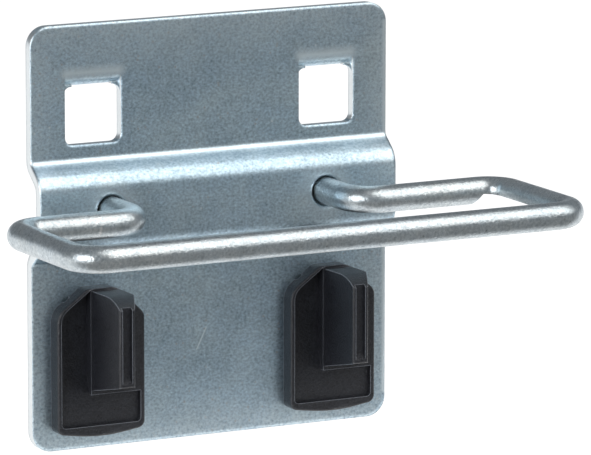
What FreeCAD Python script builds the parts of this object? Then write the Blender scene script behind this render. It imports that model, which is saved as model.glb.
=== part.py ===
# Tool holder for a panel with square holes: a pressed steel plate with two hooks,
# a bent wire loop riveted in its raised band, and two moulded push-in locking clips.
# Millimetres. +X runs to the right, -Y faces the user, +Z is up. The origin lies on the
# panel's front face, half way between the two upper panel holes.
import FreeCAD, Part
import os
import re

import Sketcher

SIZES = [
    ("panel_pitch", 38.0, "distance between panel holes, across and down"),
    ("plate_width", 58.0, "plate, left to right"),
    ("plate_top", 12.6, "plate's top edge above the hole row"),
    ("plate_bottom", 49.8, "plate's bottom edge below the hole row"),
    ("plate_corner", 3.0, "outer corner radius of the plate"),
    ("sheet", 1.5, "sheet thickness"),
    ("bend_inside", 1.0, "inside radius of the two bends between plate and flanks"),
    ("band_bend", 1.9, "inside radius of the band's own two bends"),
    ("band_forward", 3.2, "how far the band is pressed forward"),
    ("band_upper", 8.55, "middle of the upper flank below the hole row"),
    ("band_lower", 20.8, "middle of the lower flank below the hole row"),
    ("flank_drop", 2.6, "height over which a flank leans"),
    ("window_width", 9.0, "square window and the hook cut from it"),
    ("window_floor", 5.0, "window's lower edge below the hole row"),
    ("window_corner", 1.2, "radius of the window's corners"),
    ("web_front", 1.0, "rounded webs in the window's upper corners, in front of the panel"),
    ("web_root", 0.3, "how far those webs run into the sheet"),
    ("hook_under", 3.5, "hook's underside above the hole row"),
    ("hook_bend", 0.5, "inside radius of the hook's bends"),
    ("panel_sheet", 1.5, "thickness of the panel that the hooks and clips grip"),
    ("hook_clearance", 0.3, "gap between a hook and the panel's back"),
    ("hook_height", 6.6, "hook's tip above its underside"),
    ("wire_diameter", 4.0, "wire thickness"),
    ("wire_drop", 14.4, "wire loop below the hole row"),
    ("wire_spread", 35.0, "distance between the wire's two holes"),
    ("wire_bend", 4.0, "bend radius at the wire's centre line"),
    ("wire_back", 14.3, "centre of the loop's back bars in front of the panel"),
    ("wire_front", 38.0, "centre of the loop's front bar in front of the panel"),
    ("wire_left", 38.0, "centre of the loop's left bar from the middle"),
    ("wire_right", 41.2, "centre of the loop's right bar from the middle"),
    ("wire_clearance", 0.15, "gap round the wire in its hole"),
    ("hole_dish", 0.45, "chamfer round each wire hole"),
    ("head_diameter", 5.5, "rivet head on each end of the wire"),
    ("head_depth", 1.8, "thickness of the rivet head"),
    ("head_chamfer", 0.7, "chamfer round the rivet head"),
    ("die_depth", 1.75, "depth of the flat that the bending die pressed under a corner"),
    ("die_start", 36.0, "start of that flat from the middle"),
    ("die_ramp", 1.4, "slanted start of that flat"),
    ("die_fall", 0.6, "how much shallower the flat is at its outer side"),
    ("die_length", 16.0, "length of that flat, back to front"),
    ("clip_width", 14.0, "clip body, left to right"),
    ("clip_rise", 12.2, "clip's top above its plug's centre"),
    ("clip_drop", 10.0, "clip's lowest point below its plug's centre"),
    ("clip_bow", 1.0, "bow of the clip's lower edge"),
    ("clip_sweep", 26.0, "radius of that bow's middle"),
    ("clip_thick", 2.5, "clip body, front to back"),
    ("shoulder_left", 4.7, "width of the clip's left shoulder, beside the grip"),
    ("shoulder_low", 3.4, "height of that shoulder"),
    ("shoulder_arch", 3.0, "rounding at its outer end"),
    ("shoulder_right", 4.4, "width of the clip's right shoulder"),
    ("shoulder_drop", 4.3, "height of that shoulder"),
    ("clip_round", 1.6, "rounding at the outer end of the right shoulder"),
    ("crown_round", 3.2, "rounding at the upper end of the right shoulder"),
    ("clip_foot", 1.2, "rounding of the lower corners"),
    ("clip_edge", 0.35, "rounding round the clip's front face"),
    ("grip_reach", 8.6, "grip's front edge in front of the clip's face"),
    ("grip_width", 2.4, "width of the grip's front edge"),
    ("grip_draft", 0.3, "how much wider the grip's left side is at its root"),
    ("grip_flank", 3.8, "how much wider its right side is at its root"),
    ("grip_ledge", 0.2, "ledge left of the grip's root"),
    ("grip_sill", 0.6, "ledge below the grip"),
    ("grip_foot", 2.9, "grip's lowest point below the plug's centre"),
    ("grip_undercut", 1.9, "how much the grip's underside rises to the front"),
    ("grip_chin", 0.4, "rounding below the grip's front edge"),
    ("grip_step", 0.35, "grip's top below the clip's top"),
    ("grip_fall", 1.5, "how much the grip's top falls to the front"),
    ("grip_crown", 6.6, "radius over which the grip's top turns down"),
    ("groove_width", 1.5, "groove down the grip's front edge"),
    ("groove_depth", 0.5, "depth of that groove"),
    ("groove_foot", 0.5, "groove's lower end above the grip's underside"),
    ("groove_ramp", 1.0, "height of the slope that ends the groove"),
    ("grip_edge", 0.4, "rounding of the grip's front edges"),
    ("rim_thin", 0.6, "thin rim left of the finger hollow"),
    ("rim_wide", 0.75, "rim right of the front recess"),
    ("rim_low", 0.9, "rim below the front recess"),
    ("recess_depth", 0.6, "depth of the plain front recess"),
    ("recess_corner", 0.6, "corner radius of the recess"),
    ("hollow_depth", 1.8, "depth of the finger hollow"),
    ("hollow_ramp", 6.0, "length of the ramp at the hollow's lower end"),
    ("hollow_sweep", 7.0, "radius where that ramp starts"),
    ("pry_notch", 0.55, "radius of the pry notch behind the left shoulder"),
    ("plug_hole", 9.0, "square hole in the plate for a clip's plug"),
    ("plug_corner", 0.8, "corner radius of that hole"),
    ("plug_clearance", 0.08, "gap between the plug and its hole, on each side"),
    ("plug_slot", 5.0, "slot between the plug's two springy legs"),
    ("barb_gap", 0.2, "gap between a barb and the panel's back"),
    ("barb_height", 0.8, "how far a barb stands out from its leg"),
    ("barb_slope", 0.6, "slanted side of a barb that lets the clip be pulled out"),
    ("barb_length", 2.8, "length of a barb with its lead-in"),
    ("barb_width", 6.0, "width of a barb"),
    ("leg_tip", 0.4, "plain end of a leg beyond its barb"),
]

doc = FreeCAD.newDocument("panel_tool_holder")
sheet = doc.addObject("Spreadsheet::Sheet", "Sizes")
for row, (alias, value, note) in enumerate(SIZES, start=1):
    sheet.set(f"A{row}", note)
    sheet.set(f"B{row}", str(value))
    sheet.setAlias(f"B{row}", alias)
doc.recompute()

ALIASES = {alias for alias, _, _ in SIZES}
# a mitred corner of the sheet's back face lies this much nearer the flank's middle
MITRE = "(sheet * tan(atan(band_forward / flank_drop) / 2))"
# distances in front of the panel
BAND_FACE = "(band_forward + sheet)"
CLIP_FACE = "(sheet + clip_thick)"
GRIP_FRONT = "(sheet + clip_thick + grip_reach)"
# distances from a clip's middle
HOLLOW_LEFT = "(clip_width / 2 - rim_thin)"
GRIP_LEFT = "(grip_width / 2 + grip_draft)"
GRIP_RIGHT = "(grip_width / 2 + grip_flank)"
HOLLOW_RIGHT = "(grip_width / 2 + grip_draft + grip_ledge)"
RECESS_RIGHT = "(clip_width / 2 - rim_wide)"
PLUG_HALF = "(plug_hole / 2 - plug_clearance)"
# distances behind the panel's front face
HOOK_FACE = "(panel_sheet + hook_clearance)"
BARB_FACE = "(panel_sheet + barb_gap)"
SIDES = ((-1, "left"), (1, "right"))


def bound(text):
    """The expression with each size's name pointing at its cell in the sheet."""
    return re.sub("[a-z_]+", lambda word: f"Sizes.{word[0]}" if word[0] in ALIASES else word[0], text)


def number(text):
    """The expression's present value, in millimetres."""
    found = sheet.evalExpression(bound(text))
    return float(getattr(found, "Value", found))


def settle(feature):
    """Recompute, and stop at once if the feature did not build."""
    doc.recompute()
    if "Invalid" in feature.State or "Error" in feature.State:
        raise RuntimeError(f"{feature.Label} did not build: {feature.getStatusString()}")
    return feature


def new_body(name):
    """An empty body whose label names its file."""
    body = doc.addObject("PartDesign::Body", name)
    body.Label = name
    return body


def sketch_on(body, name, role, offset="0"):
    """A sketch on one of the body's own origin planes, moved along the plane's normal."""
    sketch = body.newObject("Sketcher::SketchObject", name)
    plane = next(item for item in body.Origin.OriginFeatures if item.Role == role)
    sketch.AttachmentSupport = [(plane, "")]
    sketch.MapMode = "FlatFace"
    sketch.setExpression("AttachmentOffset.Base.z", f"({bound(offset)}) * 1 mm")
    return sketch


def pin(sketch, kind, geometry, vertex, text):
    """Hold one coordinate of a sketch point at the value of an expression."""
    rule = Sketcher.Constraint(kind, -1, 1, geometry, vertex, number(text))
    sketch.setExpression(f"Constraints[{sketch.addConstraint(rule)}]", bound(text))


def size(sketch, kind, geometry, text):
    """Hold a radius or a diameter at the value of an expression."""
    rule = Sketcher.Constraint(kind, geometry, number(text))
    sketch.setExpression(f"Constraints[{sketch.addConstraint(rule)}]", bound(text))


def outline(sketch, corners, closed=True):
    """Straight lines through the corners, each (across, up) or (across, up, radius).

    A corner with a radius becomes an arc tangent to both of its lines, and a pinned
    construction point keeps the corner's place.
    """
    points = [FreeCAD.Vector(number(corner[0]), number(corner[1]), 0) for corner in corners]
    count = len(points)
    total = count if closed else count - 1
    ways = [(points[(i + 1) % count] - points[i]).normalize() for i in range(total)]
    starts, ends = points[:total], [points[(i + 1) % count] for i in range(total)]
    turns = {}
    for i, corner in enumerate(corners):
        if len(corner) > 2:
            before, after = ways[i - 1], ways[i]
            radius = number(corner[2])
            reach = radius * (after - before).Length / (after + before).Length
            starts[i], ends[i - 1] = points[i] + after * reach, points[i] - before * reach
            left = before.x * after.y - before.y * after.x > 0
            inward = FreeCAD.Vector(-before.y, before.x, 0) * (radius if left else -radius)
            middle = ends[i - 1] + inward
            turns[i] = (middle + (points[i] - middle).normalize() * radius, left)
    first = sketch.GeometryCount
    for start, end in zip(starts, ends):
        sketch.addGeometry(Part.LineSegment(start, end), False)
    for i, corner in enumerate(corners):
        last = first + (i - 1) % count
        if i in turns:
            crown, left = turns[i]
            arc = sketch.addGeometry(Part.Arc(ends[i - 1], crown, starts[i]), False)
            near, far = (1, 2) if left else (2, 1)
            sketch.addConstraint(Sketcher.Constraint("Tangent", last, 2, arc, near))
            sketch.addConstraint(Sketcher.Constraint("Tangent", first + i, 1, arc, far))
            size(sketch, "Radius", arc, corner[2])
            anchor = sketch.addGeometry(Part.Point(points[i]), True)
            sketch.addConstraint(Sketcher.Constraint("PointOnObject", anchor, 1, last))
            sketch.addConstraint(Sketcher.Constraint("PointOnObject", anchor, 1, first + i))
            held = (anchor, 1)
        elif i == total:
            held = (last, 2)
        else:
            held = (first + i, 1)
            if closed or i > 0:
                sketch.addConstraint(Sketcher.Constraint("Coincident", last, 2, first + i, 1))
        pin(sketch, "DistanceX", *held, corner[0])
        pin(sketch, "DistanceY", *held, corner[1])
    return sketch


def circle(sketch, across, up, diameter):
    """A full circle in a sketch."""
    centre = FreeCAD.Vector(number(across), number(up), 0)
    shape = Part.Circle(centre, FreeCAD.Vector(0, 0, 1), number(diameter) / 2)
    index = sketch.addGeometry(shape, False)
    pin(sketch, "DistanceX", index, 3, across)
    pin(sketch, "DistanceY", index, 3, up)
    size(sketch, "Diameter", index, diameter)


def grow(body, name, sketch, length, reverse=False, middle=False):
    """Add material along the sketch's normal."""
    pad = body.newObject("PartDesign::Pad", name)
    pad.Profile = sketch
    pad.setExpression("Length", bound(length))
    pad.Reversed = reverse
    pad.Midplane = middle
    return settle(pad)


def cut(body, name, sketch, length, reverse=False, middle=False):
    """Take material away against the sketch's normal."""
    before = body.Shape.Volume
    pocket = body.newObject("PartDesign::Pocket", name)
    pocket.Profile = sketch
    pocket.setExpression("Length", bound(length))
    pocket.Reversed = reverse
    pocket.Midplane = middle
    settle(pocket)
    if body.Shape.Volume > before - 1e-6:
        raise RuntimeError(f"{name} takes nothing away")
    return pocket


def dress(body, kind, name, width, chosen):
    """Round or chamfer the edges of the body's tip for which chosen(edge) is true."""
    tip = body.Tip
    edges = [f"Edge{i}" for i, edge in enumerate(tip.Shape.Edges, 1) if chosen(edge)]
    if not edges:
        raise RuntimeError(f"{name} finds no edge")
    feature = body.newObject(f"PartDesign::{kind}", name)
    feature.Base = (tip, edges)
    feature.setExpression("Radius" if kind == "Fillet" else "Size", bound(width))
    return settle(feature)


def is_line(edge, **places):
    """Whether a straight edge's middle has the places given for x, y or z, and it runs
    along the axis that is left out."""
    if not isinstance(edge.Curve, Part.Line):
        return False
    middle = edge.CenterOfMass
    way = edge.tangentAt(edge.FirstParameter)
    return all(abs(getattr(middle, key) - place) < 0.01 and abs(getattr(way, key)) < 1e-6
               for key, place in places.items())


def is_ring(edge, radius, depth):
    """Whether an edge is a circle of that radius, at that distance in front of the panel."""
    return (isinstance(edge.Curve, Part.Circle) and abs(edge.Curve.Radius - radius) < 1e-6
            and abs(edge.CenterOfMass.y + depth) < 1e-6)


def plate_section():
    """The sheet's section through the band, bottom to top along the front, then back."""
    half, inner, outer = "flank_drop / 2", "bend_inside", "bend_inside + sheet"
    within, around = "band_bend", "band_bend + sheet"
    return [
        ("-sheet", "-plate_bottom"),
        ("-sheet", f"-band_lower - {half}", inner),
        (f"-{BAND_FACE}", f"-band_lower + {half}", around),
        (f"-{BAND_FACE}", f"-band_upper - {half}", around),
        ("-sheet", f"-band_upper + {half}", inner),
        ("-sheet", "plate_top"),
        ("0", "plate_top"),
        ("0", f"-band_upper + {half} - {MITRE}", outer),
        ("-band_forward", f"-band_upper - {half} - {MITRE}", within),
        ("-band_forward", f"-band_lower + {half} + {MITRE}", within),
        ("0", f"-band_lower - {half} + {MITRE}", outer),
        ("0", "-plate_bottom"),
    ]


def hook_section():
    """A hook's section: back from the window's top, then up behind the panel."""
    outside, tip = f"{HOOK_FACE} + sheet", "hook_under + hook_height"
    inner, outer = "hook_bend", "hook_bend + sheet"
    root = f"hook_under + {outer} + hook_bend"
    return [
        ("-sheet", root), ("-sheet", "hook_under", outer), (outside, "hook_under", outer),
        (outside, tip), (HOOK_FACE, tip), (HOOK_FACE, "hook_under + sheet", inner),
        ("0", "hook_under + sheet", inner), ("0", root),
    ]


def rectangle(left, low, right, high, radius):
    """The corners of a rectangle whose corners are rounded."""
    return [(left, low, radius), (right, low, radius), (right, high, radius), (left, high, radius)]


def build_plate():
    """The pressed plate, with its band, windows, hooks and holes."""
    body = new_body("back_plate")
    section = outline(sketch_on(body, "band_section", "YZ_Plane"), plate_section())
    grow(body, "pressing", section, "plate_width", middle=True)
    half = number("plate_width / 2")
    levels = (number("plate_top"), number("-plate_bottom"))
    dress(body, "Fillet", "plate_corners", "plate_corner",
          lambda edge: any(is_line(edge, x=x, z=z) for x in (-half, half) for z in levels))
    through = f"{BAND_FACE} * 2"
    for side, word in SIDES:
        centre = f"{side} * panel_pitch / 2"
        left, right = f"{centre} - window_width / 2", f"{centre} + window_width / 2"
        window = outline(sketch_on(body, f"window_{word}_outline", "XZ_Plane", BAND_FACE), rectangle(
            left, "-window_floor", right, "hook_under + hook_bend + sheet", "window_corner"))
        cut(body, f"window_{word}", window, through)
        hook = outline(sketch_on(body, f"hook_{word}_section", "YZ_Plane", centre), hook_section())
        grow(body, f"hook_{word}", hook, "window_width", middle=True)
        for way, edge, end in ((1, left, "left"), (-1, right, "right")):
            web = outline(sketch_on(body, f"window_{word}_{end}_web_outline", "XZ_Plane", "web_front"), [
                (f"{edge} - {way} * web_root", "hook_under - 1.1 * window_corner"),
                (edge, "hook_under - 1.1 * window_corner"), (edge, "hook_under", "window_corner"),
                (f"{edge} + {way} * 1.1 * window_corner", "hook_under"),
                (f"{edge} + {way} * 1.1 * window_corner", "hook_under + web_root"),
                (f"{edge} - {way} * web_root", "hook_under + web_root"),
            ])
            grow(body, f"window_{word}_{end}_web", web, "web_front", reverse=True)
        square = outline(sketch_on(body, f"plug_hole_{word}_outline", "XZ_Plane", BAND_FACE), rectangle(
            f"{centre} - plug_hole / 2", "-panel_pitch - plug_hole / 2",
            f"{centre} + plug_hole / 2", "-panel_pitch + plug_hole / 2", "plug_corner"))
        cut(body, f"plug_hole_{word}", square, through)

    holes = sketch_on(body, "wire_hole_outline", "XZ_Plane", BAND_FACE)
    for side, _ in SIDES:
        circle(holes, f"{side} * wire_spread / 2", "-wire_drop", "wire_diameter + 2 * wire_clearance")
    cut(body, "wire_holes", holes, through)
    radius, face = number("wire_diameter / 2 + wire_clearance"), number(BAND_FACE)
    dress(body, "Chamfer", "wire_hole_dish", "hole_dish", lambda edge: is_ring(edge, radius, face))


def build_wire():
    """The wire loop: one wire, bent six times, with a rivet head on each end."""
    body = new_body("wire_loop")
    end, bend = "-band_forward + head_depth / 2", "wire_bend"
    route = outline(sketch_on(body, "wire_route", "XY_Plane", "-wire_drop"), [
        ("-wire_spread / 2", end),
        ("-wire_spread / 2", "-wire_back", bend), ("-wire_left", "-wire_back", bend),
        ("-wire_left", "-wire_front", bend), ("wire_right", "-wire_front", bend),
        ("wire_right", "-wire_back", bend), ("wire_spread / 2", "-wire_back", bend),
        ("wire_spread / 2", end),
    ], closed=False)
    round_bar = sketch_on(body, "wire_section", "XZ_Plane", f"-({end})")
    circle(round_bar, "-wire_spread / 2", "-wire_drop", "wire_diameter")
    doc.recompute()
    pipe = body.newObject("PartDesign::AdditivePipe", "wire")
    pipe.Profile = round_bar
    pipe.Spine = (route, [])
    settle(pipe)
    along = sum(edge.Length for edge in route.Shape.Edges)
    expected = along * Part.Face(Part.Wire(round_bar.Shape.Edges)).Area
    if abs(body.Shape.Volume / expected - 1) > 0.002:
        raise RuntimeError("the wire's volume doesn't match its length")

    under = "-wire_drop - wire_diameter / 2"
    beyond = "wire_right + wire_diameter"
    die = outline(sketch_on(body, "die_outline", "XZ_Plane", "wire_back + die_length - wire_diameter / 2"), [
        ("die_start", under), ("die_start + die_ramp", f"{under} + die_depth"),
        (beyond, f"{under} + die_depth - die_fall"), (beyond, f"{under} - wire_diameter"),
        ("die_start", f"{under} - wire_diameter"),
    ])
    cut(body, "die_mark", die, "die_length")

    heads = sketch_on(body, "head_outline", "XZ_Plane", "band_forward")
    for side, _ in SIDES:
        circle(heads, f"{side} * wire_spread / 2", "-wire_drop", "head_diameter")
    grow(body, "rivet_heads", heads, "head_depth", reverse=True)
    radius, back = number("head_diameter / 2"), number("band_forward - head_depth")
    dress(body, "Chamfer", "head_edges", "head_chamfer", lambda edge: is_ring(edge, radius, back))


def clip_outline():
    """The clip's outline, seen from the front, about its plug's centre."""
    side, shoulder = "clip_width / 2", "clip_rise - shoulder_drop"
    return [
        (f"-{side}", "-clip_drop + clip_bow", "clip_foot"), ("0", "-clip_drop", "clip_sweep"),
        (side, "-clip_drop + clip_bow", "clip_foot"), (side, shoulder, "clip_round"),
        (f"{side} - shoulder_right", "clip_rise", "crown_round"),
        (f"-{side} + shoulder_left", "clip_rise", "clip_round"),
        (f"-{side}", "clip_rise - shoulder_low", "shoulder_arch"),
    ]


def build_clip(side, word):
    """A locking clip: shouldered body, finger hollow, wedge grip and barbed plug."""
    body = new_body(f"clip_{word}")
    shape = outline(sketch_on(body, f"{word}_body_outline", "XZ_Plane", "sheet"), clip_outline())
    grow(body, f"{word}_body", shape, "clip_thick")
    face = number(f"-{CLIP_FACE}")
    dress(body, "Fillet", f"{word}_body_edge", "clip_edge",
          lambda edge: all(abs(vertex.Y - face) < 1e-6 for vertex in edge.Vertexes))

    top = "(clip_rise - grip_step)"
    past_crown = f"({GRIP_RIGHT} - clip_width / 2 + shoulder_right)"
    shoulder_at = f"clip_rise - shoulder_drop / shoulder_right * {past_crown}"
    wedge = outline(sketch_on(body, f"{word}_grip_outline", "XZ_Plane", "sheet"), [
        (f"-{GRIP_LEFT}", "-grip_foot"), (GRIP_RIGHT, "-grip_foot"), (GRIP_RIGHT, shoulder_at),
        ("clip_width / 2 - shoulder_right", "clip_rise", "crown_round"), (f"-{GRIP_LEFT}", "clip_rise"),
    ])
    grow(body, f"{word}_grip_block", wedge, "clip_thick + grip_reach")
    beyond = f"-{GRIP_FRONT} - grip_reach"
    for way, root, flank in ((-1, GRIP_LEFT, "left"), (1, GRIP_RIGHT, "right")):
        slope = outline(sketch_on(body, f"{word}_{flank}_slope_outline", "XY_Plane"), [
            (f"{way} * grip_width / 2", f"-{GRIP_FRONT}"), (f"{way} * {root}", f"-{CLIP_FACE}"),
            (f"{way} * clip_width", f"-{CLIP_FACE}"), (f"{way} * clip_width", beyond),
            (f"{way} * grip_width / 2", beyond),
        ])
        cut(body, f"{word}_grip_{flank}_slope", slope, "2 * (clip_rise + clip_drop)", middle=True)
    front, edge_at = number(f"-{GRIP_FRONT}"), number("grip_width / 2")
    dress(body, "Fillet", f"{word}_grip_edges", "grip_edge",
          lambda edge: any(is_line(edge, x=x, y=front) for x in (-edge_at, edge_at)))
    below = outline(sketch_on(body, f"{word}_undercut_outline", "YZ_Plane"), [
        (f"-{CLIP_FACE}", "-grip_foot"),
        (f"-{GRIP_FRONT}", "-grip_foot + grip_undercut", "grip_chin"), (f"-{GRIP_FRONT}", "grip_chin"),
        (beyond, "grip_chin"), (beyond, "-clip_drop"), (f"-{CLIP_FACE}", "-clip_drop"),
    ])
    cut(body, f"{word}_grip_undercut", below, "2 * clip_width", middle=True)
    turn = "acos(1 - grip_fall / grip_crown)"
    crown_at = f"(grip_reach - grip_crown * (sin({turn}) - tan({turn} / 2)))"
    above = outline(sketch_on(body, f"{word}_crown_outline", "YZ_Plane"), [
        (f"-{CLIP_FACE}", top), (f"-{CLIP_FACE} - {crown_at}", top, "grip_crown"),
        (f"-{CLIP_FACE} - 2 * grip_reach", f"{top} - (2 * grip_reach - {crown_at}) * tan({turn})"),
        (f"-{CLIP_FACE} - 2 * grip_reach", "2 * clip_rise"), (f"-{CLIP_FACE}", "2 * clip_rise"),
    ])
    cut(body, f"{word}_grip_crown", above, "2 * clip_width", middle=True)
    lowest = "(-grip_foot + grip_undercut + groove_foot)"
    groove = outline(sketch_on(body, f"{word}_groove_section", "YZ_Plane"), [
        (f"-{GRIP_FRONT}", lowest), (f"-{GRIP_FRONT} + groove_depth", f"{lowest} + groove_ramp"),
        (f"-{GRIP_FRONT} + groove_depth", "2 * clip_rise"), (beyond, "2 * clip_rise"), (beyond, lowest),
    ])
    cut(body, f"{word}_grip_groove", groove, "groove_width", middle=True)

    sill = "-grip_foot - grip_sill"
    recess = outline(sketch_on(body, f"{word}_recess_outline", "XZ_Plane", CLIP_FACE), [
        (f"-{HOLLOW_LEFT}", "-clip_drop + clip_bow + rim_low", "recess_corner"),
        (RECESS_RIGHT, "-clip_drop + clip_bow + rim_low", "recess_corner"),
        (RECESS_RIGHT, sill), (f"-{HOLLOW_LEFT}", sill),
    ])
    cut(body, f"{word}_recess", recess, "recess_depth")
    lean = "atan(shoulder_low / shoulder_left)"
    corner = f"clip_rise - shoulder_low - rim_thin * tan({lean} / 2)"
    hollow = outline(sketch_on(body, f"{word}_hollow_outline", "XZ_Plane", CLIP_FACE), [
        (f"-{HOLLOW_LEFT}", sill), (f"-{HOLLOW_RIGHT}", sill),
        (f"-{HOLLOW_RIGHT}", f"{corner} + ({HOLLOW_LEFT} - {HOLLOW_RIGHT}) * shoulder_low / shoulder_left"),
        (f"-{HOLLOW_LEFT}", corner, "shoulder_arch - rim_thin"),
    ])
    cut(body, f"{word}_hollow", hollow, "hollow_depth")
    floor, inside = f"-{CLIP_FACE} + hollow_depth", "-sheet"
    hollow_middle = f"-({HOLLOW_LEFT} + {HOLLOW_RIGHT}) / 2"
    ramp = outline(sketch_on(body, f"{word}_ramp_section", "YZ_Plane", hollow_middle), [
        (floor, f"{sill} + hollow_ramp"), (floor, f"{sill} + hollow_ramp / 2", "hollow_sweep"),
        (f"-{CLIP_FACE} + recess_depth", sill), (inside, sill), (inside, f"{sill} + hollow_ramp"),
    ])
    grow(body, f"{word}_ramp", ramp, f"{HOLLOW_LEFT} - {HOLLOW_RIGHT}", middle=True)
    notch = sketch_on(body, f"{word}_pry_outline", "XZ_Plane", "sheet")
    circle(notch, "(shoulder_left - clip_width) / 2", "clip_rise - shoulder_low / 2", "2 * pry_notch")
    cut(body, f"{word}_pry_notch", notch, "pry_notch", reverse=True)

    reach = f"{BARB_FACE} + barb_length + leg_tip"
    plug = outline(sketch_on(body, f"{word}_plug_outline", "XZ_Plane", "sheet"), rectangle(
        f"-{PLUG_HALF}", f"-{PLUG_HALF}", PLUG_HALF, PLUG_HALF, "plug_corner"))
    grow(body, f"{word}_plug", plug, f"sheet + {reach}", reverse=True)
    slot = outline(sketch_on(body, f"{word}_slot_outline", "XY_Plane"), [
        ("-plug_slot / 2", "-sheet"), ("plug_slot / 2", "-sheet"),
        ("plug_slot / 2", reach), ("-plug_slot / 2", reach),
    ])
    cut(body, f"{word}_plug_slot", slot, "2 * plug_hole", middle=True)
    for way, leg in SIDES:
        inside, wall = f"{way} * ({PLUG_HALF} - barb_height)", f"{way} * {PLUG_HALF}"
        barb = outline(sketch_on(body, f"{word}_{leg}_barb_section", "XY_Plane"), [
            (inside, BARB_FACE), (wall, BARB_FACE),
            (f"{way} * ({PLUG_HALF} + barb_height)", f"{BARB_FACE} + barb_slope"),
            (wall, f"{BARB_FACE} + barb_length"), (inside, f"{BARB_FACE} + barb_length"),
        ])
        grow(body, f"{word}_{leg}_barb", barb, "barb_width", middle=True)
    body.setExpression("Placement.Base.x", bound(f"{side} * panel_pitch / 2"))
    body.setExpression("Placement.Base.z", bound("-panel_pitch"))
    doc.recompute()


build_plate()
build_wire()
for side, word in SIDES:
    build_clip(side, word)

for item in doc.Objects:
    if "Invalid" in item.State or "Error" in item.State:
        raise RuntimeError(f"{item.Label} did not build: {item.State}")
bodies = [item for item in doc.Objects if item.TypeId == "PartDesign::Body"]
for body in bodies:
    if body.Shape.isNull() or not body.Shape.isValid() or len(body.Shape.Solids) != 1:
        raise RuntimeError(f"{body.Label} is not one valid solid")

os.makedirs("parts", exist_ok=True)
for body in bodies:
    body.Shape.exportStep(os.path.join("parts", f"{body.Label}.step"))
    print(f"{body.Label}: {body.Shape.Volume:.1f} mm3")
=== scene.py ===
"""Finishes, light and camera for the pegboard hook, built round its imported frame.

The plate and the wire are zinc-plated steel, and the two locking clips are black moulded plastic.
Blender's lengths are metres in the hook's own frame: +X to the right, -Y towards the user, +Z up.
The finishes, edges and marks are given in millimetres of the same frame.
"""
import logging
import math
from collections.abc import Sequence
from dataclasses import dataclass
from enum import Enum

import bpy
from mathutils import Matrix, Vector


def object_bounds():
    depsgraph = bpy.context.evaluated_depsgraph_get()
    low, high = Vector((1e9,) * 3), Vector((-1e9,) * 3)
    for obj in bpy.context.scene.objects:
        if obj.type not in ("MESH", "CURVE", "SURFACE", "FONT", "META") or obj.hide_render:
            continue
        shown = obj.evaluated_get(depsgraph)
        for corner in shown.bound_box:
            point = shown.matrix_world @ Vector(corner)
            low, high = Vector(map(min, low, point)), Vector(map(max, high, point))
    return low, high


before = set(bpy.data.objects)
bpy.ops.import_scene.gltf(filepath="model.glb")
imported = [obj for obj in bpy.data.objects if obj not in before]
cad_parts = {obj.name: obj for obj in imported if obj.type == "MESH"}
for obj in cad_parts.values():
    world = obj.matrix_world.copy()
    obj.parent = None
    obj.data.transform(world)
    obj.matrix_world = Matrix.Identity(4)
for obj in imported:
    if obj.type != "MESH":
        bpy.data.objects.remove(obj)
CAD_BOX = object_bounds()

LOG = logging.getLogger("pegboard_hook")
MM = 0.001

Colour = tuple[float, float, float]
Point = tuple[float, float, float]
Tree = bpy.types.NodeTree
Node = bpy.types.Node
Socket = bpy.types.NodeSocket

WHITE: Colour = (1.0, 1.0, 1.0)

# a Mix node's sockets for colours, which share their names with its other kinds of socket
MIX_FIRST, MIX_SECOND, MIX_RESULT = 6, 7, 2

# how far the mottle's wide patches and its fine grain swing
PATCH_CONTRAST = 3.0
GRAIN_CONTRAST = 5.0

# the plating's tint changes in patches this much wider than its shade
TINT_PATCH = 2.2
TINT_GRAIN = 0.4
TINT_GRAIN_SHARE = 0.3

# how open the surface round an edge has to be, from no painted edge highlight to the full one
OPEN_LOW, OPEN_HIGH = 0.72, 0.95

# depth of the surface texture, in millimetres
ZINC_RELIEF = 0.05
PLASTIC_RELIEF = 0.03

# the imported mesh's doubled corners lie nearer than this, in millimetres
WELD_GAP = 0.002
FLAT_FACE_WEIGHT = 80


class Slot(Enum):
    """The record's material slots that the finishes are made for."""

    SHEET = "zinc_sheet"
    WIRE = "zinc_wire"
    PLASTIC = "black_plastic"


class Side(Enum):
    """The hook's two sides, with the sign of x on each."""

    LEFT = -1
    RIGHT = 1


def rgba(colour: Colour) -> tuple[float, float, float, float]:
    """Return the colour with full alpha."""
    return (*colour, 1.0)


def add_node(tree: Tree, kind: str, **values: object) -> Node:
    """Add a node and set its properties and its unlinked inputs.

    Args:
        tree: The node tree that gets the node.
        kind: Blender's type name of the node.
        values: Properties by name, or inputs by name with spaces written as underscores.

    Returns:
        The new node.
    """
    node = tree.nodes.new(kind)
    for name, value in values.items():
        if hasattr(node, name):
            setattr(node, name, value)
        else:
            node.inputs[name.replace("_", " ")].default_value = value
    return node


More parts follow.
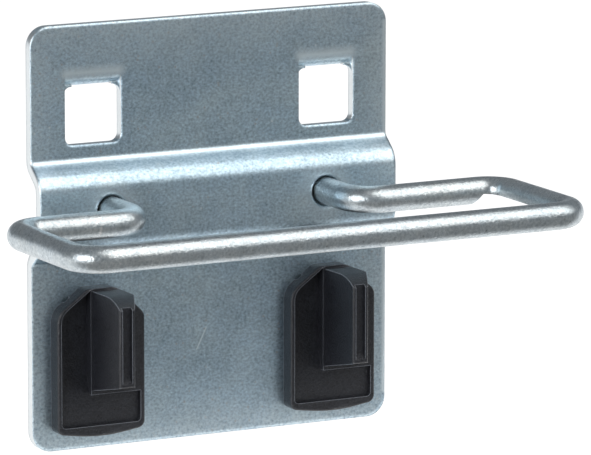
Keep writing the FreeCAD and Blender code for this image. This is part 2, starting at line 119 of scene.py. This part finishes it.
class Group:
    """A shader node group under construction, with short ways to add nodes and links."""

    def __init__(
        self, name: str, inputs: dict[str, tuple[str, object]], outputs: dict[str, str]
    ) -> None:
        """Create the group with its sockets.

        Args:
            name: The group's name.
            inputs: Socket type and default value of each input, by name.
            outputs: Socket type of each output, by name.
        """
        self.tree = bpy.data.node_groups.new(name, "ShaderNodeTree")
        for label, (kind, value) in inputs.items():
            socket = self.tree.interface.new_socket(label, in_out="INPUT", socket_type=kind)
            socket.default_value = value
        for label, kind in outputs.items():
            self.tree.interface.new_socket(label, in_out="OUTPUT", socket_type=kind)
        self.source = self.tree.nodes.new("NodeGroupInput")
        self.sink = self.tree.nodes.new("NodeGroupOutput")

    def add(self, kind: str, **values: object) -> Node:
        """Add a node to the group."""
        return add_node(self.tree, kind, **values)

    def link(self, start: Socket, end: Socket) -> None:
        """Link two sockets of the group."""
        self.tree.links.new(start, end)

    def math(
        self, operation: str, first: object, second: object = None, clamp: bool = False
    ) -> Socket:
        """Add a Math node.

        Args:
            operation: The Math node's operation.
            first: A socket or a number.
            second: A socket, a number, or None where the operation takes one value.
            clamp: Whether the result is held between 0 and 1.

        Returns:
            The node's output.
        """
        return add_math(self.tree, operation, first, second, clamp)


def add_math(
    tree: Tree, operation: str, first: object, second: object = None, clamp: bool = False
) -> Socket:
    """Add a Math node to any tree, with sockets or numbers as its inputs, and return its output."""
    node = add_node(tree, "ShaderNodeMath", operation=operation, use_clamp=clamp)
    for place, value in enumerate((first, second)):
        if isinstance(value, Socket):
            tree.links.new(value, node.inputs[place])
        elif value is not None:
            node.inputs[place].default_value = value
    return node.outputs[0]


def scale_and_shift(
    tree: Tree, value: Socket, factor: float, shift: float, clamp: bool = False
) -> Socket:
    """Multiply a value by one number, add another, and return the result."""
    result = add_math(tree, "MULTIPLY_ADD", value, factor, clamp)
    result.node.inputs[2].default_value = shift
    return result


def smooth_step(tree: Tree, value: Socket, low: float, high: float, falling: bool = False) -> Socket:
    """Add a step from 0 to 1 between two values, or from 1 to 0, and return its output."""
    step = add_node(tree, "ShaderNodeMapRange", interpolation_type="SMOOTHSTEP")
    tree.links.new(value, step.inputs["Value"])
    ends = (1.0, 0.0) if falling else (0.0, 1.0)
    for name, number in zip(("From Min", "From Max", "To Min", "To Max"), (low, high, *ends)):
        step.inputs[name].default_value = number
    return step.outputs[0]


def split_place(tree: Tree, kind: str) -> Node:
    """Add a node that gives the X, Y and Z of the named kind of texture coordinates."""
    place = add_node(tree, "ShaderNodeTexCoord")
    parts = add_node(tree, "ShaderNodeSeparateXYZ")
    tree.links.new(place.outputs[kind], parts.inputs[0])
    return parts


def add_rays(tree: Tree) -> tuple[Node, Socket]:
    """Add a Light Path node, and a value that is 1 for rays that were mirrored or refracted."""
    rays = add_node(tree, "ShaderNodeLightPath")
    glossy, refracted = rays.outputs["Is Glossy Ray"], rays.outputs["Is Transmission Ray"]
    return rays, add_math(tree, "MAXIMUM", glossy, refracted)


FLOAT = "NodeSocketFloat"
VECTOR = "NodeSocketVector"


def build_mottle_group() -> Tree:
    """Build the group for cloudy patches with finer grain inside them.

    Returns:
        A group whose Value swings round 0, mostly between -1 and 1.
    """
    group = Group(
        "cloudy_mottle",
        {
            "Patch": (FLOAT, 8.0), "Grain": (FLOAT, 1.0), "Grain Share": (FLOAT, 0.5),
            "Stretch": (VECTOR, (1, 1, 1)),
        },
        {"Value": FLOAT},
    )
    place = group.add("ShaderNodeTexCoord")
    stretched = group.add("ShaderNodeVectorMath", operation="MULTIPLY")
    group.link(place.outputs["Object"], stretched.inputs[0])
    group.link(group.source.outputs["Stretch"], stretched.inputs[1])
    noises = []
    for name, gain in (("Patch", PATCH_CONTRAST), ("Grain", GRAIN_CONTRAST)):
        scale = group.math("DIVIDE", 1.0 / MM, group.source.outputs[name])
        noise = group.add("ShaderNodeTexNoise", Detail=3.0, Roughness=0.65)
        group.link(stretched.outputs[0], noise.inputs["Vector"])
        group.link(scale, noise.inputs["Scale"])
        centred = group.math("SUBTRACT", noise.outputs[0], 0.5)
        noises.append(group.math("MULTIPLY", centred, gain))
    share = group.source.outputs["Grain Share"]
    fine = group.math("MULTIPLY", noises[1], share)
    rest = group.math("SUBTRACT", 1.0, share)
    coarse = group.math("MULTIPLY", noises[0], rest)
    group.link(group.math("ADD", fine, coarse), group.sink.inputs["Value"])
    return group.tree


def build_fleck_group() -> Tree:
    """Build the group for sparse small flecks.

    Returns:
        A group whose Mask is 1 in the middle of a fleck and 0 between flecks.
    """
    group = Group(
        "sparse_flecks",
        {"Spacing": (FLOAT, 1.5), "Size": (FLOAT, 0.2), "Share": (FLOAT, 0.3)},
        {"Mask": FLOAT},
    )
    place = group.add("ShaderNodeTexCoord")
    cells = group.add("ShaderNodeTexVoronoi", feature="F1")
    group.link(place.outputs["Object"], cells.inputs["Vector"])
    density = group.math("DIVIDE", 1.0 / MM, group.source.outputs["Spacing"])
    group.link(density, cells.inputs["Scale"])
    apart = group.math("DIVIDE", group.source.outputs["Size"], group.source.outputs["Spacing"])
    near = group.math("DIVIDE", cells.outputs["Distance"], apart)
    spot = group.math("SUBTRACT", 1.0, near, clamp=True)
    pick = group.add("ShaderNodeSeparateColor")
    group.link(cells.outputs["Color"], pick.inputs[0])
    chosen = group.math("LESS_THAN", pick.outputs[0], group.source.outputs["Share"])
    strength = group.math("MULTIPLY", chosen, pick.outputs[1])
    group.link(group.math("MULTIPLY", spot, strength), group.sink.inputs["Mask"])
    return group.tree


def build_streak_group() -> Tree:
    """Build the group for one straight streak between two points, used for scratches and nicks, and for
    painted highlights and painted shade.

    Returns:
        A group whose Mask is 1 on the streak and falls to 0 at its width.
    """
    group = Group(
        "straight_streak",
        {"Start": (VECTOR, (0, 0, 0)), "End": (VECTOR, (0, 0, 1)), "Width": (FLOAT, 0.2)},
        {"Mask": FLOAT},
    )
    place = group.add("ShaderNodeTexCoord")

    def vector(operation: str, first: object, second: object) -> Node:
        """Add a vector operation between two sockets."""
        node = group.add("ShaderNodeVectorMath", operation=operation)
        group.link(first, node.inputs[0])
        group.link(second, node.inputs["Scale" if operation == "SCALE" else 1])
        return node

    start, end = group.source.outputs["Start"], group.source.outputs["End"]
    along = vector("SUBTRACT", end, start).outputs[0]
    here = vector("SUBTRACT", place.outputs["Object"], start).outputs[0]
    reach = vector("DOT_PRODUCT", here, along).outputs["Value"]
    square = vector("DOT_PRODUCT", along, along).outputs["Value"]
    share = group.math("DIVIDE", reach, square, clamp=True)
    foot = vector("SCALE", along, share).outputs[0]
    gap = vector("DISTANCE", here, foot).outputs["Value"]
    width = group.math("MULTIPLY", group.source.outputs["Width"], MM)
    outward = group.math("DIVIDE", gap, width)
    group.link(group.math("SUBTRACT", 1.0, outward, clamp=True), group.sink.inputs["Mask"])
    return group.tree


def build_cut_face_group() -> Tree:
    """Build the group that finds the narrow cut faces of a sheet, which look sideways, up or down.

    Returns:
        A group whose Mask is 1 where the normal has more than the given share of X or of Z.
    """
    group = Group(
        "cut_faces",
        {"Sideways": (FLOAT, 0.6), "Upright": (FLOAT, 0.9), "Blend": (FLOAT, 0.2)},
        {"Mask": FLOAT},
    )
    place = group.add("ShaderNodeTexCoord")
    parts = group.add("ShaderNodeSeparateXYZ")
    group.link(place.outputs["Normal"], parts.inputs[0])
    masks = []
    for axis, limit in (("X", "Sideways"), ("Z", "Upright")):
        lean = group.math("ABSOLUTE", parts.outputs[axis])
        past = group.math("SUBTRACT", lean, group.source.outputs[limit])
        masks.append(group.math("DIVIDE", past, group.source.outputs["Blend"], clamp=True))
    group.link(group.math("MAXIMUM", *masks), group.sink.inputs["Mask"])
    return group.tree


def build_edge_group() -> Tree:
    """Build the group that finds outer edges, where a highlight is painted on moulded plastic.

    Returns:
        A group whose Mask is 1 on an outer edge and 0 on flat faces and in inner corners.
    """
    group = Group(
        "painted_edge_highlights",
        {"Radius": (FLOAT, 0.2), "Gain": (FLOAT, 4.0), "Reach": (FLOAT, 0.8)},
        {"Mask": FLOAT},
    )
    bevel = group.add("ShaderNodeBevel", samples=8)
    group.link(group.math("MULTIPLY", group.source.outputs["Radius"], MM), bevel.inputs["Radius"])
    surface = group.add("ShaderNodeNewGeometry")
    facing = group.add("ShaderNodeVectorMath", operation="DOT_PRODUCT")
    group.link(bevel.outputs[0], facing.inputs[0])
    group.link(surface.outputs["Normal"], facing.inputs[1])
    bent = group.math("SUBTRACT", 1.0, facing.outputs["Value"])
    edge = group.math("MULTIPLY", bent, group.source.outputs["Gain"], clamp=True)
    air = group.add("ShaderNodeAmbientOcclusion", samples=8, only_local=True)
    group.link(group.math("MULTIPLY", group.source.outputs["Reach"], MM), air.inputs["Distance"])
    exposed = group.add("ShaderNodeMapRange", From_Min=OPEN_LOW, From_Max=OPEN_HIGH)
    group.link(air.outputs["AO"], exposed.inputs["Value"])
    group.link(group.math("MULTIPLY", edge, exposed.outputs[0]), group.sink.inputs["Mask"])
    return group.tree


@dataclass(frozen=True)
class Mark:
    """A straight streak on the plating, light where its strength is above 0 and dark below, for scratches,
    painted highlights and painted shade.
    """

    start: Point
    end: Point
    width: float
    strength: float


@dataclass(frozen=True)
class Border:
    """A lighter, speckled strip along the outline of a rectangular plate."""

    middle: Point
    half_size: Point
    width: float
    gain: float
    patch: float = 3.0
    grain: float = 0.5
    grain_share: float = 0.7
    cover: float = 0.6


def build_border_group() -> Tree:
    """Build the group for a soft strip along the outline of a rectangular plate.

    Returns:
        A group whose Mask is 1 at the plate's outline and 0 further in than the width.
    """
    group = Group(
        "plate_border",
        {"Middle": (VECTOR, (0, 0, 0)), "Half Size": (VECTOR, (1, 1, 1)), "Width": (FLOAT, 5.0)},
        {"Mask": FLOAT},
    )
    place = group.add("ShaderNodeTexCoord")
    steps = [place.outputs["Object"]]
    for operation, other in (("SUBTRACT", group.source.outputs["Middle"]), ("ABSOLUTE", None),
                             ("SUBTRACT", group.source.outputs["Half Size"])):
        node = group.add("ShaderNodeVectorMath", operation=operation)
        group.link(steps[-1], node.inputs[0])
        if other is not None:
            group.link(other, node.inputs[1])
        steps.append(node.outputs[0])
    parts = group.add("ShaderNodeSeparateXYZ")
    group.link(steps[-1], parts.inputs[0])
    nearest = group.math("MAXIMUM", parts.outputs["X"], parts.outputs["Z"])
    width = group.math("MULTIPLY", group.source.outputs["Width"], MM)
    inner = group.math("DIVIDE", nearest, width)
    mask = group.math("ADD", inner, 1.0, clamp=True)
    group.link(group.math("MULTIPLY", mask, mask), group.sink.inputs["Mask"])
    return group.tree


class Workshop:
    """The node groups that the finishes share, each built once."""

    def __init__(self) -> None:
        """Build every group."""
        self.mottle = build_mottle_group()
        self.flecks = build_fleck_group()
        self.scratch_and_painted_light = build_streak_group()
        self.cut_faces = build_cut_face_group()
        self.border = build_border_group()
        self.edges = build_edge_group()

    @staticmethod
    def place(tree: Tree, group: Tree, **values: object) -> Node:
        """Put a group into a material, with values for its inputs.

        Args:
            tree: The material's node tree.
            group: The group to place.
            values: The group's inputs by name, with spaces written as underscores.

        Returns:
            The group node.
        """
        node = tree.nodes.new("ShaderNodeGroup")
        node.node_tree = group
        for name, value in values.items():
            node.inputs[name.replace("_", " ")].default_value = value
        return node


def new_material(name: str) -> tuple[bpy.types.Material, Node]:
    """Create a material with a lone Principled BSDF and return both."""
    material = bpy.data.materials.new(name)
    material.use_nodes = True
    return material, material.node_tree.nodes["Principled BSDF"]


def mix_colours(
    tree: Tree, factor: Socket, first: object, second: object
) -> Socket:
    """Add a colour Mix node.

    Args:
        tree: The node tree that gets the node.
        factor: The socket that steers the mix.
        first: The colour or socket at factor 0.
        second: The colour or socket at factor 1.

    Returns:
        The mixed colour.
    """
    node = add_node(tree, "ShaderNodeMix", data_type="RGBA")
    tree.links.new(factor, node.inputs["Factor"])
    for place, value in ((MIX_FIRST, first), (MIX_SECOND, second)):
        if isinstance(value, Socket):
            tree.links.new(value, node.inputs[place])
        else:
            node.inputs[place].default_value = rgba(value)
    return node.outputs[MIX_RESULT]


def half_way(tree: Tree, value: Socket) -> Socket:
    """Turn a value that swings round 0 into a mix factor that swings round 0.5."""
    return scale_and_shift(tree, value, 0.5, 0.5, clamp=True)


@dataclass(frozen=True)
class Flecks:
    """Small spots on a finish: how far apart, how wide, and what share of the places has one."""

    spacing: float
    size: float
    share: float
    colour: Colour


@dataclass(frozen=True)
class ZincPlating:
    """Bright zinc on steel: mottled and flecked, with a fine grain, a few scratches, and streaks of
    painted highlight and painted shade.
    """

    name: str
    dark: Colour
    light: Colour
    cool: Colour
    warm: Colour
    patch: float
    grain: float
    grain_share: float
    flecks: Sequence[Flecks]
    # colour of the light streaks: scratches, and painted highlights
    scratch_and_painted_light: Colour
    roughness: float
    roughness_swing: float
    bump: float
    stretch: Point = (1.0, 1.0, 1.0)
    marks: Sequence[Mark] = ()
    border: Border | None = None
    # pale colour of the bare cut faces, with a painted reflection of the light on them
    cut_face_and_reflection: Colour | None = None
    cut_face_reflection_share: float = 0.0
    rolled_edge: float = 0.0

    def build(self, shop: Workshop) -> bpy.types.Material:
        """Build the material.

        Args:
            shop: The shared node groups.

        Returns:
            The finished material.
        """
        material, surface = new_material(self.name)
        tree = material.node_tree
        mottle = shop.place(tree, shop.mottle, Patch=self.patch, Grain=self.grain,
                            Grain_Share=self.grain_share, Stretch=self.stretch)
        shade = half_way(tree, mottle.outputs[0])
        tint = shop.place(tree, shop.mottle, Patch=self.patch * TINT_PATCH,
                          Grain=self.patch * TINT_GRAIN, Grain_Share=TINT_GRAIN_SHARE)
        tinted = half_way(tree, tint.outputs[0])
        dark = mix_colours(tree, tinted, *self.toned(self.dark))
        light = mix_colours(tree, tinted, *self.toned(self.light))
        colour = mix_colours(tree, shade, dark, light)
        for spots in self.flecks:
            flecks = shop.place(tree, shop.flecks, Spacing=spots.spacing, Size=spots.size,
                                Share=spots.share)
            colour = mix_colours(tree, flecks.outputs[0], colour, spots.colour)
        height = add_math(tree, "MULTIPLY", mottle.outputs[0], 0.5)
        if self.border is not None:
            colour = self.lighten_border(tree, shop, self.border, colour)
        # light marks paint scratches and highlights; dark marks paint shade and a dark line
        for mark in self.marks:
            scratch_and_painted_light = shop.place(tree, shop.scratch_and_painted_light, Start=[v * MM for v in mark.start],
                                 End=[v * MM for v in mark.end], Width=mark.width)
            gain = abs(mark.strength)
            strength = add_math(tree, "MULTIPLY", scratch_and_painted_light.outputs[0], gain, clamp=True)
            shown = self.scratch_and_painted_light if mark.strength > 0 else self.dark
            colour = mix_colours(tree, strength, colour, shown)
            height = add_math(tree, "SUBTRACT", height, strength)
        # faces that look sideways, up or down get a pale colour: the sheet's bare cut edges, with a
        # painted reflection on them and on the hooks' undersides
        if self.cut_face_and_reflection is not None:
            cut = shop.place(tree, shop.cut_faces)
            cut_and_reflection_mask = add_math(tree, "MULTIPLY", cut.outputs[0], self.cut_face_reflection_share)
            colour = mix_colours(tree, cut_and_reflection_mask, colour, self.cut_face_and_reflection)
        rough = scale_and_shift(tree, mottle.outputs[0], -self.roughness_swing, self.roughness, clamp=True)
        bump = add_node(tree, "ShaderNodeBump", Strength=self.bump, Distance=ZINC_RELIEF * MM)
        if self.rolled_edge > 0:
            rolled = add_node(tree, "ShaderNodeBevel", samples=8, Radius=self.rolled_edge * MM)
            tree.links.new(rolled.outputs[0], bump.inputs["Normal"])
        tree.links.new(height, bump.inputs["Height"])
        tree.links.new(colour, surface.inputs["Base Color"])
        tree.links.new(rough, surface.inputs["Roughness"])
        tree.links.new(bump.outputs[0], surface.inputs["Normal"])
        surface.inputs["Metallic"].default_value = 1.0
        return material

    def toned(self, colour: Colour) -> tuple[Colour, ...]:
        """Return the colour in the plating's cool tone and in its warm tone."""
        return tuple(tuple(a * b for a, b in zip(colour, tone)) for tone in (self.cool, self.warm))

    def lighten_border(
        self, tree: Tree, shop: Workshop, border: Border, colour: Socket
    ) -> Socket:
        """Make the plating lighter and more flecked towards the plate's outline.

        Args:
            tree: The material's node tree.
            shop: The shared node groups.
            border: The strip.
            colour: The plating's colour so far.

        Returns:
            The colour with its lighter border.
        """
        strip = shop.place(tree, shop.border, Middle=[v * MM for v in border.middle],
                           Half_Size=[v * MM for v in border.half_size], Width=border.width)
        patchy = shop.place(tree, shop.mottle, Patch=border.patch, Grain=border.grain,
                            Grain_Share=border.grain_share)
        swing = scale_and_shift(tree, patchy.outputs[0], 1.0, border.cover)
        share = add_math(tree, "MULTIPLY", strip.outputs[0], swing, clamp=True)
        share = add_math(tree, "MULTIPLY", share, border.gain, clamp=True)
        return mix_colours(tree, share, colour, self.scratch_and_painted_light)


@dataclass(frozen=True)
class MouldedPlastic:
    """Black injection-moulded plastic with a fine satin texture, and a painted highlight along its outer
    edges.
    """

    name: str
    dark: Colour
    light: Colour
    patch: float
    grain: float
    grain_share: float
    roughness: float
    roughness_swing: float
    bump: float
    sheen_level: float
    # colour of the painted highlight along outer edges
    edge: Colour
    edge_highlight_radius: float
    edge_highlight_gain: float

    def build(self, shop: Workshop) -> bpy.types.Material:
        """Build the material.

        Args:
            shop: The shared node groups.

        Returns:
            The finished material.
        """
        material, surface = new_material(self.name)
        tree = material.node_tree
        mottle = shop.place(tree, shop.mottle, Patch=self.patch, Grain=self.grain,
                            Grain_Share=self.grain_share)
        colour = mix_colours(tree, half_way(tree, mottle.outputs[0]), self.dark, self.light)
        # painted highlight: the colour turns lighter on open outer edges
        edges = shop.place(tree, shop.edges, Radius=self.edge_highlight_radius, Gain=self.edge_highlight_gain)
        colour = mix_colours(tree, edges.outputs[0], colour, self.edge)
        surface.inputs["Specular IOR Level"].default_value = self.sheen_level
        rough = scale_and_shift(tree, mottle.outputs[0], self.roughness_swing, self.roughness, clamp=True)
        bump = add_node(tree, "ShaderNodeBump", Strength=self.bump, Distance=PLASTIC_RELIEF * MM)
        tree.links.new(mottle.outputs[0], bump.inputs["Height"])
        tree.links.new(colour, surface.inputs["Base Color"])
        tree.links.new(rough, surface.inputs["Roughness"])
        tree.links.new(bump.outputs[0], surface.inputs["Normal"])
        return material


SHEET_FINISH = ZincPlating(
    name="zinc_plated_sheet",
    dark=(0.18, 0.255, 0.32), light=(0.75, 0.91, 1.0),
    cool=(0.93, 1.0, 1.08), warm=(1.05, 1.02, 0.96),
    patch=8.0, grain=0.36, grain_share=0.62, stretch=(0.8, 1.0, 1.0),
    flecks=(
        Flecks(spacing=1.2, size=0.26, share=0.4, colour=(0.95, 0.98, 0.99)),
        Flecks(spacing=1.2, size=0.24, share=0.35, colour=(0.12, 0.15, 0.18)),
    ),
    # the cut-face colour is bare cut steel with a painted reflection
    # the light streak colour paints scratches and highlights
    scratch_and_painted_light=(0.84, 0.95, 1.0), cut_face_and_reflection=(0.8, 0.82, 0.82), cut_face_reflection_share=0.85,
    roughness=0.36, roughness_swing=0.05, bump=0.3,
    marks=(
        Mark((-2.35, -1.5, -36.85), (-0.8, -1.5, -33.75), 0.16, 1.0),
        Mark((-3.2, -1.5, -38.6), (4.2, -1.5, -38.3), 0.16, -0.35),
        # painted highlight along the bend at the top of the band's upper flank
        Mark((-29.0, -1.6, -7.4), (29.0, -1.6, -7.4), 0.8, 0.8),
        # painted shade on the band's upper flank
        Mark((-29.0, -2.5, -8.1), (29.0, -2.5, -8.1), 1.4, -0.6),
        # painted highlight along the plate's right edge
        Mark((28.75, -1.5, -46.0), (28.75, -1.5, 9.5), 0.55, 1.0),
        # painted highlight on the bend above each window, where the hook folds back
        Mark((-23.2, -1.5, 5.5), (-14.8, -1.5, 5.5), 1.3, 0.9),
        Mark((14.8, -1.5, 5.5), (23.2, -1.5, 5.5), 1.3, 0.9),
        # painted light round each wire hole, over the shade in the hole's dish
        Mark((-18.0, -4.7, -14.4), (-17.5, -4.7, -14.4), 5.0, 0.8),
        Mark((17.0, -4.7, -14.4), (17.5, -4.7, -14.4), 5.0, 0.8),
    ),
    border=Border(middle=(0.0, 0.0, -18.6), half_size=(29.0, 100.0, 31.2), width=9.0, gain=0.6),
    rolled_edge=0.7,
)
WIRE_FINISH = ZincPlating(
    name="zinc_plated_wire",
    dark=(0.28, 0.325, 0.35), light=(0.78, 0.84, 0.86),
    cool=(0.96, 1.0, 1.05), warm=(1.04, 1.0, 0.96),
    patch=4.0, grain=0.4, grain_share=0.6,
    flecks=(
        Flecks(spacing=1.4, size=0.2, share=0.3, colour=(0.82, 0.83, 0.82)),
        Flecks(spacing=1.1, size=0.24, share=0.4, colour=(0.16, 0.17, 0.17)),
    ),
    scratch_and_painted_light=(0.85, 0.86, 0.86),
    roughness=0.3, roughness_swing=0.05, bump=0.8,
    marks=(Mark((-24.9, -16.3, -14.4), (-24.9, -16.1, -15.4), 0.3, 1.0),),
)
PLASTIC_FINISH = MouldedPlastic(
    name="black_moulded_plastic",
    dark=(0.002, 0.0024, 0.0038), light=(0.03, 0.0325, 0.042),
    patch=5.0, grain=0.3, grain_share=0.7,
    roughness=0.36, roughness_swing=0.1, bump=1.0, sheen_level=0.5,
    # the edge colour is a painted highlight
    edge=(0.25, 0.27, 0.31), edge_highlight_radius=0.22, edge_highlight_gain=8.0,
)


@dataclass
class Piece:
    """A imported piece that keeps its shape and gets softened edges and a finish."""

    node: str
    slot: Slot
    edge: float
    edge_angle: float = 32.0
    edge_segments: int = 2

    def dress(self, material: bpy.types.Material) -> bpy.types.Object:
        """Round the piece's sharp edges slightly and give it its material.

        Args:
            material: The finish.

        Returns:
            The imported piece's object.
        """
        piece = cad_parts[self.node]
        piece.data.materials.clear()
        piece.data.materials.append(material)
        for polygon in piece.data.polygons:
            polygon.use_smooth = True
        weld = piece.modifiers.new("joined_faces", "WELD")
        weld.merge_threshold = WELD_GAP * MM
        bevel = piece.modifiers.new("softened_edges", "BEVEL")
        bevel.width = self.edge * MM
        bevel.segments = self.edge_segments
        bevel.limit_method = "ANGLE"
        bevel.angle_limit = math.radians(self.edge_angle)
        bevel.use_clamp_overlap = True
        facing = piece.modifiers.new("flat_face_normals", "WEIGHTED_NORMAL")
        facing.mode = "FACE_AREA"
        facing.weight = FLAT_FACE_WEIGHT
        return piece


class Bracket:
    """The hook's fixed part: the pressed plate and the wire loop riveted in it."""

    def __init__(self) -> None:
        """Name the bracket's pieces."""
        self.plate = Piece("back_plate", Slot.SHEET, edge=0.32, edge_segments=3)
        self.wire = Piece("wire_loop", Slot.WIRE, edge=0.08)

    def build(self, finishes: dict[Slot, bpy.types.Material]) -> None:
        """Dress the plate and the wire."""
        for piece in (self.plate, self.wire):
            piece.dress(finishes[piece.slot])
            LOG.info("dressed %s", piece.node)


@dataclass
class LockingClip:
    """One push-in locking clip."""

    side: Side

    def build(self, finishes: dict[Slot, bpy.types.Material]) -> None:
        """Dress the clip."""
        piece = Piece(f"clip_{self.side.name.lower()}", Slot.PLASTIC, edge=0.2)
        piece.dress(finishes[piece.slot])
        LOG.info("dressed %s", piece.node)


@dataclass(frozen=True)
class Softbox:
    """A rectangular area lamp aimed at the hook."""

    name: str
    place: Point
    width: float
    height: float
    power: float
    colour: Colour = WHITE

    def build(self, target: Vector) -> None:
        """Add the lamp.

        Args:
            target: The point that the lamp faces.
        """
        data = bpy.data.lights.new(self.name, "AREA")
        data.shape = "RECTANGLE"
        data.size, data.size_y = self.width, self.height
        data.energy = self.power
        data.color = self.colour
        lamp = bpy.data.objects.new(self.name, data)
        lamp.location = self.place
        lamp.rotation_euler = (target - lamp.location).to_track_quat("-Z", "Y").to_euler()
        bpy.context.scene.collection.objects.link(lamp)


@dataclass
class Studio:
    """The floor, the world and the lamps, with the back of the room lit as a white backdrop."""

    floor_gap: float = 12.0 * MM
    floor_size: float = 6.0
    floor_grey: float = 0.4
    floor_roughness: float = 0.9
    floor_lift: float = 0.9
    backdrop_start: float = -55.0 * MM
    backdrop_full: float = -20.0 * MM
    room_grey: float = 0.25
    room_tint: Colour = (0.94, 1.0, 1.06)
    horizon_low: float = 0.03
    horizon_high: float = 0.14
    backdrop_spread: float = 2.0
    lamps: Sequence[Softbox] = (
        Softbox("key_softbox", (0.376, -0.46, 0.57), 0.82, 0.82, 4.1, (1.0, 0.975, 0.94)),
        Softbox("left_fill", (-0.72, -0.38, 0.1), 0.5, 0.6, 4.6),
    )

    def build(self, middle: Vector, lowest: float) -> None:
        """Set up the studio.

        Args:
            middle: The middle of the hook.
            lowest: The hook's lowest height.
        """
        self.build_floor(lowest - self.floor_gap)
        self.build_world()
        for lamp in self.lamps:
            lamp.build(middle)

    def build_floor(self, height: float) -> None:
        """Add the pale floor, which shines for the camera, and at the back for reflections."""
        half = self.floor_size / 2
        mesh = bpy.data.meshes.new("floor")
        outline = ((-half, -half), (half, -half), (half, half), (-half, half))
        corners = [(x, y, height) for x, y in outline]
        mesh.from_pydata(corners, [], [(0, 1, 2, 3)])
        floor = bpy.data.objects.new("floor", mesh)
        bpy.context.scene.collection.objects.link(floor)
        material, surface = new_material("pale_floor")
        tree = material.node_tree
        surface.inputs["Base Color"].default_value = rgba((self.floor_grey,) * 3)
        surface.inputs["Roughness"].default_value = self.floor_roughness
        surface.inputs["Specular IOR Level"].default_value = 0.0
        surface.inputs["Emission Color"].default_value = rgba(WHITE)
        depth = split_place(tree, "Object").outputs["Y"]
        behind = smooth_step(tree, depth, self.backdrop_start, self.backdrop_full)
        rays, mirrored = add_rays(tree)
        reflected = add_math(tree, "MULTIPLY", behind, mirrored)
        seen = add_math(tree, "MAXIMUM", reflected, rays.outputs["Is Camera Ray"])
        shine = add_math(tree, "MULTIPLY", seen, self.floor_lift)
        tree.links.new(shine, surface.inputs["Emission Strength"])
        mesh.materials.append(material)

    def build_world(self) -> None:
        """Surround the hook with a grey room that reflections see white, low at the back."""
        world = bpy.data.worlds.new("studio")
        bpy.context.scene.world = world
        world.use_nodes = True
        tree = world.node_tree
        back = tree.nodes["Background"]
        parts = split_place(tree, "Generated")
        low = smooth_step(tree, parts.outputs["Z"], self.horizon_low, self.horizon_high, falling=True)
        behind = add_math(tree, "MULTIPLY", parts.outputs["Y"], self.backdrop_spread, clamp=True)
        white = add_math(tree, "MULTIPLY", low, behind)
        rays, mirrored = add_rays(tree)
        reflected = add_math(tree, "MULTIPLY", white, mirrored)
        level = add_math(tree, "MAXIMUM", reflected, self.room_grey)
        seen = add_math(tree, "MAXIMUM", level, rays.outputs["Is Camera Ray"])
        tree.links.new(seen, back.inputs["Strength"])
        colour = mix_colours(tree, rays.outputs["Is Camera Ray"], self.room_tint, WHITE)
        tree.links.new(colour, back.inputs["Color"])


@dataclass(frozen=True)
class Viewpoint:
    """The photograph's camera, in degrees and millimetres, with its focal length in pixels."""

    azimuth: float = -27.571
    elevation: float = 10.521
    roll: float = 0.054
    target: Point = (14.759, 0.0, -20.419)
    distance: float = 885.1
    focal_pixels: float = 5991.3
    image_width: int = 591
    sensor_width: float = 36.0
    nearest: float = 0.01
    farthest: float = 20.0

    def build(self) -> None:
        """Add the camera and make it the scene's own."""
        turn, rise = math.radians(self.azimuth), math.radians(self.elevation)
        level = math.cos(rise)
        back = Vector((math.sin(turn) * level, -math.cos(turn) * level, math.sin(rise)))
        right = Vector((0, 0, 1)).cross(back).normalized()
        up = back.cross(right)
        tilt = math.radians(self.roll)
        across = right * math.cos(tilt) + up * math.sin(tilt)
        upright = up * math.cos(tilt) - right * math.sin(tilt)
        data = bpy.data.cameras.new("photo_camera")
        data.sensor_fit = "HORIZONTAL"
        data.sensor_width = self.sensor_width
        data.lens = self.focal_pixels / self.image_width * self.sensor_width
        data.clip_start, data.clip_end = self.nearest, self.farthest
        camera = bpy.data.objects.new("photo_camera", data)
        place = Vector(self.target) * MM + back * self.distance * MM
        turned = Matrix((across, upright, back)).transposed().to_4x4()
        camera.matrix_world = Matrix.Translation(place) @ turned
        bpy.context.scene.collection.objects.link(camera)
        bpy.context.scene.camera = camera


def main() -> None:
    """Build the scene, one part of it after another."""
    logging.basicConfig(level=logging.INFO, format="%(name)s: %(message)s")
    bpy.context.scene.view_settings.view_transform = "Standard"
    Viewpoint().build()
    low, high = (Vector(corner) for corner in CAD_BOX)
    Studio().build((low + high) / 2, low.z)
    shop = Workshop()
    finishes = {
        Slot.SHEET: SHEET_FINISH.build(shop),
        Slot.WIRE: WIRE_FINISH.build(shop),
        Slot.PLASTIC: PLASTIC_FINISH.build(shop),
    }
    Bracket().build(finishes)
    for side in Side:
        LockingClip(side).build(finishes)


if __name__ == "__main__":
    main()
